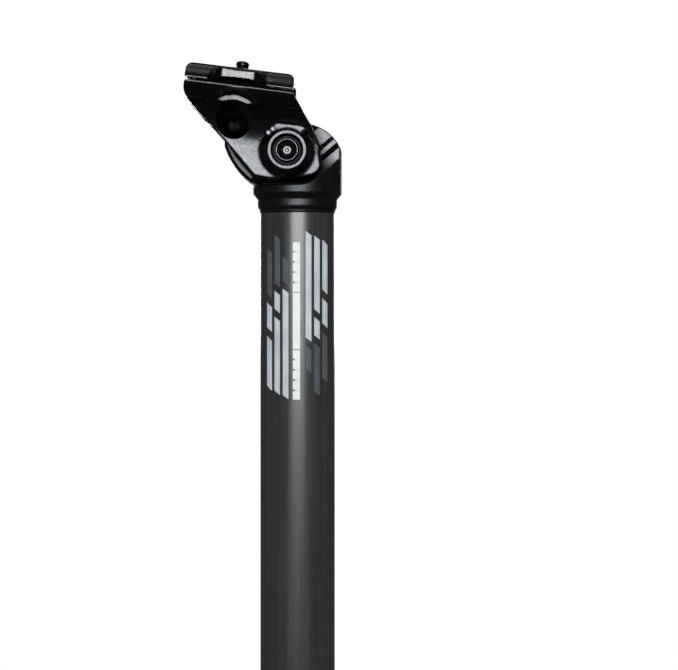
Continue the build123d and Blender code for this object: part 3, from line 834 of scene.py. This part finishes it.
def deepenGrooves(points, form):
    # Each groove falls to a line along its middle, the slope times the distance from its edge
    lean = math.radians(form["turn"])
    side, depth = fromMiddle(points)
    x, z = fromPivot(points)
    for step, width in zip(form["steps"], form["widths"]):
        fromX = x - form["middle"][0] + step * math.sin(lean)
        fromZ = z - form["middle"][1] - step * math.cos(lean)
        along = np.abs(fromX * math.cos(lean) + fromZ * math.sin(lean))
        across = np.abs(fromZ * math.cos(lean) - fromX * math.sin(lean))
        inset = np.minimum(width / 2 - across, form["half"] - along)
        near = (inset > 0) & (depth < form["web"] + form["over"]) & (depth > form["web"] - form["under"])
        depth = np.where(near, form["web"] - inset * form["slope"], depth)
    points[:, 1] = side * depth


def relaxed(points, edges, rounds, weight):
    # Every point moves half-way to the mean of its neighbours, times its weight
    first, second = edges[:, 0], edges[:, 1]
    count = len(points)
    degree = np.maximum(np.bincount(edges.ravel(), minlength=count), 1)
    for _ in range(rounds):
        sums = [
            np.bincount(first, points[second, axis], count) + np.bincount(second, points[first, axis], count)
            for axis in range(3)
        ]
        points = points + 0.5 * weight[:, None] * (np.stack(sums, 1) / degree[:, None] - points)
    return points


# Where the ends of the cradle and of the upper clamp are relaxed more: places along and up from the
# rail bolt's crossing with the rails, where that rises to its full share
clampEndForm = {"middle": padForm["middle"], "along": (14.0, 18.0), "up": (1.2, 3.2), "share": 1.0}
cradleEndForm = {"middle": 0.8, "along": (16.0, 19.0), "up": (-8.0, -8.0 + tiny), "share": 0.7}


def endShare(points, form):
    along, up = fromRails(points, clampPlace)
    return form["share"] * ramp(np.abs(along - form["middle"]), *form["along"]) * ramp(up, *form["up"])


# Forgings: a merged copy of the solid, remeshed evenly, fitted back, reshaped and relaxed, so that
# every edge is soft; voxels and merging reach in millimetres
mergeReach = 0.002
forgings = {
    "post_head": {
        "piece": "forgedHead",
        "voxel": 0.27,
        "rounds": 3,
        "keep": 0.30,
        "shapes": ((narrowBoss, bossFront), (leanNeck, neckForm), (deepenGrooves, webGrooves)),
        "ends": (),
    },
    "lower_cradle": {
        "piece": "railCradle",
        "voxel": 0.24,
        "rounds": 4,
        "keep": 0.36,
        "shapes": (
            (slopeWalls, lipForm),
            (narrowScoop, scoopForm),
            (pressShelf, scoopForm),
            (trimBoss, bossForm),
            (taperCrescent, crescent),
            (roundRim, rimForm),
            (clearSeat, seatForm),
        ),
        "ends": ((cradleEndForm, 14),),
    },
    "upper_clamp": {
        "piece": "railClamp",
        "voxel": 0.20,
        "rounds": 8,
        "keep": 0.5,
        "shapes": (
            (fillScallop, padForm),
            (roundPadEnds, padForm),
            (slopeWalls, {**lipForm, "beside": (7.5, 10.5)}),
        ),
        "ends": ((clampEndForm, 10),),
    },
}


def readPoints(mesh):
    flat = np.empty(len(mesh.vertices) * 3, np.float32)
    mesh.vertices.foreach_get("co", flat)
    return flat.reshape(-1, 3).astype(float)


def readEdges(mesh):
    flat = np.empty(len(mesh.edges) * 2, np.int32)
    mesh.edges.foreach_get("vertices", flat)
    return flat.reshape(-1, 2)


def evaluated(mesh, modifiers):
    worker = addToScene("worker", mesh)
    for kind, settings in modifiers:
        modifier = worker.modifiers.new(kind, kind)
        for name, value in settings.items():
            setattr(modifier, name, value)
    result = bpy.data.meshes.new_from_object(worker.evaluated_get(bpy.context.evaluated_depsgraph_get()))
    bpy.data.objects.remove(worker)
    return result


def mergedCopy(node):
    mesh = nodes[node].data.copy()
    mergePoints(mesh, mergeReach * millimetre)
    mesh.transform(Matrix.Scale(1 / millimetre, 4))
    return mesh


def softForging(node, settings):
    mesh = mergedCopy(node)
    mould = addToScene("mould", mesh)
    size = settings["voxel"] * 1.0
    even = ("REMESH", {"mode": "VOXEL", "voxel_size": size})
    fitted = ("SHRINKWRAP", {"target": mould, "wrap_method": "NEAREST_SURFACEPOINT"})
    soft = evaluated(mesh.copy(), (even, fitted))
    bpy.data.objects.remove(mould)
    points, edges = readPoints(soft), readEdges(soft)
    for shape, form in settings["shapes"]:
        shape(points, form)
    points = relaxed(points, edges, settings["rounds"], np.ones(len(points)))
    for form, rounds in settings["ends"]:
        points = relaxed(points, edges, rounds, endShare(points, form))
    soft.vertices.foreach_set("co", points.ravel())
    soft.update()
    soft = evaluated(soft, (("DECIMATE", {"ratio": settings["keep"]}),))
    soft.transform(Matrix.Scale(millimetre, 4))
    soft.name = settings["piece"]
    standFor(node, settings["piece"], soft)
    print(settings["piece"], len(points), "points,", len(soft.polygons), "faces kept")


for node, settings in forgings.items():
    softForging(node, settings)

# Tube: a ring profile carried round the axis, with its cut ends just broken
tubeSettings = {"wall": 2.4, "edge": 0.15, "border": 0.1, "turns": 256, "rows": 40}


def bordered(count, border):
    # Even shares from 0 to 1, with a narrow border at both ends that holds the edge's shading
    return np.concatenate([[0], np.linspace(border, 1 - border, count), [1]])


def buildTube(settings):
    outer, _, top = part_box("seat_tube")[1]
    inner = outer - settings["wall"] * millimetre
    edge = settings["edge"] * millimetre
    rise = edge + (top - 2 * edge) * bordered(settings["rows"], settings["border"] * millimetre / top)
    outside = [(inner + edge, 0), (outer - edge, 0), *((outer, z) for z in rise), (outer - edge, top)]
    inside = [(inner + edge, top), *((inner, z) for z in rise[::-1])]
    points = lathed(outside + inside, settings["turns"], uprightAxis)
    standFor("seat_tube", "seatTube", gridMesh("seatTube", points, closeRows=True))
    return outer


tubeRadius = buildTube(tubeSettings)
print("tube ready")

# Tube graphics: plain bars with slanted ends in two columns, the left one the right one turned
# round, and a height scale between them, all as thin films on the tube, in metres
films = {
    "lift": 0.00003,
    "thickness": 0.00003,
    "border": 0.00004,
    "columns": 13,
    "rowHeight": 0.002,
    "bottom": 0.2373,
    "top": 0.2984,
}
# Degrees round from the camera's side, heights, and how far the right-hand edge stands lower
rightBars = (
    ("silver", 13.0, 22.5, 0.2598, 0.2983, 0.0016),
    ("silver", 27.0, 37.0, 0.2700, 0.2968, 0.0017),
    ("silver", 27.0, 37.0, 0.2606, 0.2672, 0.0017),
    ("silver", 42.0, 53.5, 0.2772, 0.2953, 0.0019),
    ("silver", 42.0, 53.5, 0.2650, 0.2740, 0.0019),
    ("slate", 13.0, 22.5, 0.2484, 0.2570, 0.0016),
    ("slate", 27.0, 37.0, 0.2404, 0.2578, 0.0017),
    ("slate", 42.0, 53.5, 0.2452, 0.2618, 0.0019),
)
# From the bottom: two ladders of steps with nicks between them, and a plain bar in the middle
heightScale = {
    "left": -6.6,
    "right": 4.8,
    "nick": -3.4,
    "steps": 5,
    "step": 0.00315,
    "cut": 0.00055,
    "plain": 0.0204,
    "gap": 0.0003,
}


def thinFilm(name, points, ink, body):
    mesh = gridMesh(name, points, closeColumns=False)
    piece = linkPiece(name, mesh, skins[ink + "Ink"], body)
    skin = piece.modifiers.new("film", "SOLIDIFY")
    skin.thickness, skin.offset = films["thickness"], 0.0


def tubeBar(name, ink, left, right, bottom, top, slant=0.0):
    # Degrees round from the camera's side, by height; the slant lowers the right-hand edge
    wide, tall = math.radians(right - left) * tubeRadius, top - bottom
    across = bordered(films["columns"], films["border"] / wide)[None, :]
    up = bordered(max(2, int(tall / films["rowHeight"])), films["border"] / tall)[:, None]
    turns = np.radians(left + (right - left) * across) + 0 * up
    heights = bottom + tall * up - slant * across
    radius = tubeRadius + films["lift"]
    points = np.stack([radius * np.sin(turns), -radius * np.cos(turns), heights], -1)
    thinFilm(name, points, ink, "post")


for count, (ink, left, right, bottom, top, slant) in enumerate(rightBars):
    tubeBar(f"barRight{count}", ink, left, right, bottom, top, slant)
    turnedBottom = films["bottom"] + films["top"] - top + slant
    turnedTop = films["bottom"] + films["top"] - bottom + slant
    tubeBar(f"barLeft{count}", ink, -right, -left, turnedBottom, turnedTop, slant)
step, cut = ("left", heightScale["step"]), ("nick", heightScale["cut"])
ladder = [step] + [cut, step] * (heightScale["steps"] - 1)
gap = [(None, heightScale["gap"])]
level = films["bottom"]
for count, (start, tall) in enumerate(ladder + gap + [("left", heightScale["plain"])] + gap + ladder):
    if start is not None:
        tubeBar(f"scaleBar{count}", "white", heightScale[start], heightScale["right"], level, level + tall)
    level += tall
print("tube graphics ready")

# Cheek marks: painted glint dots and two rows of plain ticks on each cheek, in millimetres and degrees
cheekMarks = {
    "lift": 0.03,
    "plate": 16.9,
    "dotRadius": 0.82,
    "dotSides": 32,
    "dotRows": 3,
    "tickRows": 4,
    "short": 0.6,  # of every other tick's length
    "ringTicks": {
        "level": 17.4,
        "count": 5,
        "from": 66.0,
        "to": 108.0,
        "circle": 6.45,
        "width": 0.5,
        "length": 0.95,
    },
    "flankTicks": {"count": 6, "from": -19.2, "to": -13.2, "up": 0.9, "width": 0.65, "length": 1.7},
}


def cheekPatch(name, ink, side, along, up, level):
    # Places along and up from the pivot, at a level over the middle plane
    points = pivotPlace - side * along[..., None] * alongRails + up[..., None] * upFromRails
    points[..., 1] = side * (level + cheekMarks["lift"])
    thinFilm(name, points * millimetre, ink, "cradle")


def flankLevel(up):
    # The cove's level over the pivot, but never inside the cheek
    drop = float((pivotPlace - clampPlace) @ upFromRails)
    return np.maximum(coveLevel(np.maximum(up, 0) + drop, crescent), cheekLevel)


def cheekTick(name, side, middle, ticks, share, lean):
    # A rectangle of points, turned by its lean about its middle
    width, length = ticks["width"], ticks["length"] * share
    across = np.linspace(-width / 2, width / 2, 2)[None, :]
    rise = np.linspace(-length / 2, length / 2, cheekMarks["tickRows"])[:, None]
    along = middle[0] + across * math.cos(lean) - rise * math.sin(lean)
    up = middle[1] + across * math.sin(lean) + rise * math.cos(lean)
    cheekPatch(name, "white", side, along, up, ticks.get("level", flankLevel(up)))


def paintGlintDot(name, side, middle):
    # A silver disc painted as a glint: reach times the cosine and sine of the turn, from the dot's middle
    turns = np.linspace(0, 2 * np.pi, cheekMarks["dotSides"] + 1)[None, :]
    reach = np.linspace(0, cheekMarks["dotRadius"], cheekMarks["dotRows"])[:, None]
    along, up = middle[0] + reach * np.cos(turns), middle[1] + reach * np.sin(turns)
    cheekPatch(name, "silver", side, along, up, cheekMarks["plate"])


def markCheek(side, label):
    for count, angle in enumerate(np.radians(crescent["dotAngles"])):
        paintGlintDot(f"paintedGlintDot{label}{count}", side, onCircle(crescent["dotCircle"], angle))
    ticks = cheekMarks["ringTicks"]
    for count, angle in enumerate(np.radians(np.linspace(ticks["from"], ticks["to"], ticks["count"]))):
        middle, share = onCircle(ticks["circle"], angle), 1.0 if count % 2 else cheekMarks["short"]
        cheekTick(f"ringTick{label}{count}", side, middle, ticks, share, angle - np.pi / 2)
    ticks = cheekMarks["flankTicks"]
    for count, along in enumerate(np.linspace(ticks["from"], ticks["to"], ticks["count"])):
        middle, share = (-side * along, ticks["up"]), cheekMarks["short"] if count % 2 else 1.0
        cheekTick(f"flankTick{label}{count}", side, middle, ticks, share, 0.0)


markCheek(-1, "Near")
markCheek(1, "Far")
print("cheek marks ready")

# Bolts: socket, dish, rim, knurled side, shank and a cut thread, as one surface round the axis
boltSettings = {
    "tilt_bolt": {
        "joint": "cross_bolt_turn",
        "piece": "crossBolt",
        "headHeight": 4.0,
        "seat": 13.2,  # from the middle plane to the head's seat
        "length": 30.4,
        "tip": (0.6, 0.6),
        "thread": 12.0,
        "rim": (3.64, 3.86),
    },
    "rail_bolt": {
        "joint": "rail_bolt_turn",
        "piece": "railBolt",
        "headHeight": 5.0,
        "seat": 10.5,
        "length": 21.5,
        "tip": (1.9, 1.25),
        "thread": 13.0,
        "rim": (3.35, 3.8),
    },
}
boltForm = {
    "headRadius": 4.25,
    "shankRadius": 2.5,
    "socketFlat": 2.0,
    "socketDepth": 2.4,
    "floorRadius": 1.7,
    "floorDrop": 0.35,  # of the groove round the socket's floor
    "chamfer": (0.18, 0.25),  # of the socket's mouth, across and down
    "mouth": (0.45, 0.02),  # where the mouth is round again, past the flat and over the dish
    "dishDepth": 0.95,
    "dishEdge": 0.10,
    "rimRound": 0.08,
    "edge": 0.4,
    "knurls": 40,
    "knurlDepth": 0.22,
    "knurlFrom": 0.3,  # under the head's bevel
    "knurlTo": (0.75, 0.40),  # over the seat: where the knurls end, and where they have faded
    "neck": 0.3,
    "pitch": 0.8,
    "pitchRows": 10,
    "runOut": 0.2,
    "threadDepth": 0.42,
    "threadSlope": 1.25,
    "threadLand": 0.1,
    "tipRows": 9,
    "turns": 240,
}


def boltSurface(settings, form, place):
    # Radii, and heights down from the head's top; three more columns, 0 where left out, say how far
    # a row is hexagonal, knurled and threaded
    head, reach = settings["headHeight"], settings["headHeight"] + settings["length"]
    radius, shank, edge = form["headRadius"], form["shankRadius"], form["edge"]
    flat, depth, dish = form["socketFlat"], form["socketDepth"], form["dishDepth"]
    (bevelAcross, bevelDown), (mouthAcross, mouthUp) = form["chamfer"], form["mouth"]
    (rimIn, rimOut), (knurlEnd, knurlFade) = settings["rim"], form["knurlTo"]
    rows = [
        (0, depth),
        (form["floorRadius"], depth),
        (form["floorRadius"], depth + form["floorDrop"]),
        (flat, depth + form["floorDrop"], 1),
        (flat, dish + bevelDown, 1),
        (flat + bevelAcross, dish, 1),
        (flat + mouthAcross, dish - mouthUp),
        (rimIn, form["dishEdge"]),
        (rimIn + form["rimRound"], 0),
        (rimOut, 0),
        (radius, radius - rimOut),
        (radius, radius - rimOut + form["knurlFrom"], 0, 1),
        (radius, head - knurlEnd, 0, 1),
        (radius, head - knurlFade),
        (radius, head - edge),
        (radius - edge, head),
        (shank + form["neck"], head),
        (shank, head + form["neck"]),
    ]
    across, tall = settings["tip"]
    threadTop, threadEnd = reach - settings["thread"], reach - tall
    samples = np.arange(threadTop, threadEnd, form["pitch"] / form["pitchRows"])
    fade = np.minimum(1, np.minimum(samples - threadTop, threadEnd - samples) / form["pitch"])
    rows += [(shank, threadTop - form["runOut"])]
    rows += [(shank, height, 0, 0, share) for height, share in zip(samples, fade)]
    for bend in np.linspace(0, np.pi / 2, form["tipRows"]):
        rows += [(shank - across * (1 - math.cos(bend)), threadEnd + tall * math.sin(bend))]
    rows += [(0, reach)]
    table = np.array([(*row, 0, 0, 0)[:5] for row in rows], float)
    turns = fullTurns(form["turns"])
    radii, down, hexed, knurled, threaded = (table[:, column, None] for column in range(5))
    radii = radii * (1 + hexed * (hexShare(turns) - 1))
    radii = radii - knurled * form["knurlDepth"] * wave(turns * form["knurls"] / (2 * np.pi))
    depths = wave(down / form["pitch"] + turns / (2 * np.pi)) * form["threadSlope"] - form["threadLand"]
    radii = radii - threaded * form["threadDepth"] * np.clip(depths, 0, 1)
    return turned(radii * millimetre, -down * millimetre + 0 * turns, turns, place)


def boltPlace(settings):
    # The joint's axis gives the way that the head faces
    joint = joints[settings["joint"]]
    facing = np.array(joint["axis"], float)
    top = settings["seat"] + settings["headHeight"]
    return axisFrame(np.array(joint["pos_m"]) + facing * top * millimetre, facing)


for node, settings in boltSettings.items():
    points = boltSurface(settings, boltForm, boltPlace(settings))
    standFor(node, settings["piece"], gridMesh(settings["piece"], points))

# The cross bolt's bright socket floor, a shallow cone with a drilled middle: radii and depths under
# the head's top
socketFloor = {
    "profile": ((0, 2.62), (0.42, 2.42), (0.5, 2.30), (1.66, 2.12), (1.72, 2.36), (0, 2.39)),
    "turns": 64,
}


def buildSocketFloor(settings):
    profile = np.array(settings["profile"]) * (millimetre, -millimetre)
    place = boltPlace(boltSettings["tilt_bolt"])
    mesh = gridMesh("socketFloor", lathed(profile, settings["turns"], place))
    piece = linkPiece("socketFloor", mesh, steels["socketSteel"], "cross_bolt")


buildSocketFloor(socketFloor)
print("bolts ready")

# Studio: white surroundings, a pale floor, soft lamps, and a drum of dark card that only
# reflections see
studio = {
    "ambient": 0.85,
    "floor": {
        "radius": 0.9,
        "sides": 96,
        "colour": (0.80, 0.80, 0.80),
        "roughness": 0.9,
        "specular": 0.1,
        "fade": (0.25, 0.95),  # shares of the radius
    },
    "cards": {"radius": 1.3, "low": 0.0, "high": 1.7, "sides": 64, "level": 0.05},
    "aim": (0, 0, 0.27),
    "lamps": {
        "key": {"size": (0.50, 0.28), "place": (0.02, -0.70, 0.40), "power": 3.7},
        "back": {"size": (0.50, 0.34), "place": (0.02, 0.75, 0.42), "power": 3.4},
        "left": {"size": (0.24, 0.70), "place": (-0.85, 0.05, 0.35), "power": 0.06},
        "right": {"size": (0.24, 0.70), "place": (0.85, 0.05, 0.35), "power": 0.06},
        "top": {"size": (0.40, 0.40), "place": (-0.02, 0.00, 1.25), "power": 1.8},
    },
}
white = (1, 1, 1, 1)


def floorFinish(settings):
    # Pale in the middle, and as white as the background towards the rim
    material, tree = blankMaterial("paleFloor")
    skin = {"Roughness": settings["roughness"], "Specular IOR Level": settings["specular"]}
    skin["Base Color"] = opaque(settings["colour"])
    pale = addNode(tree, "BsdfPrincipled", skin).outputs["BSDF"]
    glow = addNode(tree, "Emission", {"Color": white, "Strength": 1.0}).outputs["Emission"]
    where = {0: objectCoordinates(tree)}
    reach = addNode(tree, "VectorMath", where, operation="LENGTH").outputs["Value"]
    fade = remap(tree, reach, span=[share * settings["radius"] for share in settings["fade"]])
    blend = addNode(tree, "MixShader", {0: fade, 1: pale, 2: glow})
    addNode(tree, "OutputMaterial", {"Surface": blend.outputs["Shader"]})
    return material


def buildFloor(settings):
    # A flat disc: radius times the cosine and sine of the turn
    turn = fullTurns(settings["sides"])[0]
    rim = np.stack([np.cos(turn), np.sin(turn), 0 * turn], 1) * settings["radius"]
    mesh = bpy.data.meshes.new("studioFloor")
    mesh.from_pydata(rim.tolist(), [], [list(range(len(rim)))])
    mesh.materials.append(floorFinish(settings))
    floor = addToScene("studioFloor", mesh)
    floor.location = (0, 0, cadLow[2])


def buildCards(settings):
    # A closed drum: two radii and two heights, carried round the upright axis
    radius, low, high = settings["radius"], settings["low"], settings["high"]
    profile = ((0, low), (radius, low), (radius, high), (0, high))
    mesh = gridMesh("darkCards", lathed(profile, settings["sides"], uprightAxis))
    material, tree = blankMaterial("darkCard")
    glow = addNode(tree, "Emission", {"Color": white, "Strength": settings["level"]})
    addNode(tree, "OutputMaterial", {"Surface": glow.outputs["Emission"]})
    mesh.materials.append(material)
    cards = addToScene("darkCards", mesh)
    cards.visible_camera = cards.visible_diffuse = cards.visible_shadow = False
    cards.visible_transmission = cards.visible_volume_scatter = False


def buildWorld(ambient):
    # White to the camera and to reflections, and a little less to matt surfaces
    world = bpy.data.worlds.new("studioWorld")
    bpy.context.scene.world = world
    world.use_nodes = True
    tree = world.node_tree
    tree.nodes.clear()
    light = addNode(tree, "LightPath").outputs
    seen = light["Is Camera Ray"]
    for other in ("Is Glossy Ray", "Is Transmission Ray"):
        seen = combine(tree, seen, light[other], "MAXIMUM")
    strength = remap(tree, seen, (ambient, 1.0), (0.0, 1.0))
    background = addNode(tree, "Background", {"Color": white, "Strength": strength})
    addNode(tree, "OutputWorld", {"Surface": background.outputs["Background"]})


def buildLamp(name, lamp, target):
    data = bpy.data.lights.new(name, "AREA")
    data.shape = "RECTANGLE"
    data.size, data.size_y = lamp["size"]
    data.energy = lamp["power"]
    light = addToScene(name, data)
    light.location = lamp["place"]
    aim = np.array(target) - np.array(lamp["place"])
    pan = math.atan2(-aim[0], aim[1])
    pitch = math.atan2(aim[2], math.hypot(aim[0], aim[1])) + math.pi / 2
    light.rotation_euler = (pitch, 0, pan)
    light.visible_camera = False


buildCamera(cameraSettings)
buildFloor(studio["floor"])
buildCards(studio["cards"])
buildWorld(studio["ambient"])
for name, lamp in studio["lamps"].items():
    buildLamp(name + "Softbox", lamp, studio["aim"])
print("studio ready")
